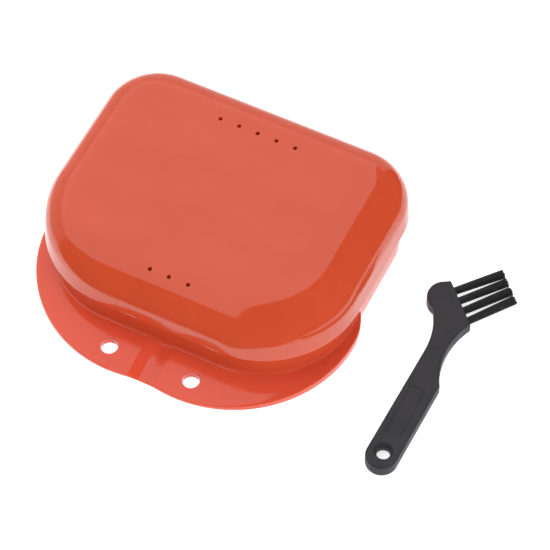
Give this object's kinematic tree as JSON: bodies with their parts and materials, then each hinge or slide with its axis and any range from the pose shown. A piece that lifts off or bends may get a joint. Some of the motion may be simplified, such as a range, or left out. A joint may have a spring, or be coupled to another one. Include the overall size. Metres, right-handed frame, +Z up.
{
  "type": "mouthguard with case",
  "caption": "Snap-shut vented mouthguard case with a hinged domed lid and a front lanyard flange, a lined mouthguard inside and a small cleaning brush beside it.",
  "frame": {"origin": "on the surface the case stands on, under the middle of the base, midway between the lid's two rows of vents", "axes": "+X to the case's right, towards the brush; +Y to the hinge at the back; +Z up"},
  "size_m": [0.1123, 0.0779, 0.024],
  "materials": {
    "case_plastic": "glossy moulded polypropylene, orange-red, smooth",
    "guard_shell": "smooth moulded EVA, black, slightly satin",
    "guard_liner": "soft milky EVA gel, slightly translucent",
    "brush_plastic": "satin moulded plastic, charcoal black",
    "bristle": "black nylon filaments",
    "anchor_metal": "flat drawn wire"
  },
  "bodies": {
    "base": {"base_shell": "case_plastic"},
    "lid": {"lid_shell": "case_plastic"},
    "guard": {"guard_shell": "guard_shell", "guard_liner": "guard_liner"},
    "brush": {"brush_handle": "brush_plastic", "bristle_tuft_1": "bristle", "bristle_tuft_2": "bristle", "bristle_tuft_3": "bristle", "bristle_tuft_4": "bristle", "tuft_anchor_1": "anchor_metal", "tuft_anchor_2": "anchor_metal", "tuft_anchor_3": "anchor_metal", "tuft_anchor_4": "anchor_metal"}
  },
  "joints": [
    {"name": "lid_hinge", "type": "hinge", "parent": "base", "child": "lid", "pos_m": [0, 0.036, 0.011], "axis": [-1, 0, 0], "range_deg": [0, 165]},
    {"name": "guard_lift", "type": "slide", "parent": "base", "child": "guard", "axis": [0, 0, 1], "range_m": [0, 0.005]},
    {"name": "brush_lift", "type": "slide", "parent": "base", "child": "brush", "axis": [0, 0, 1], "range_m": [0, 0.03]}
  ]
}
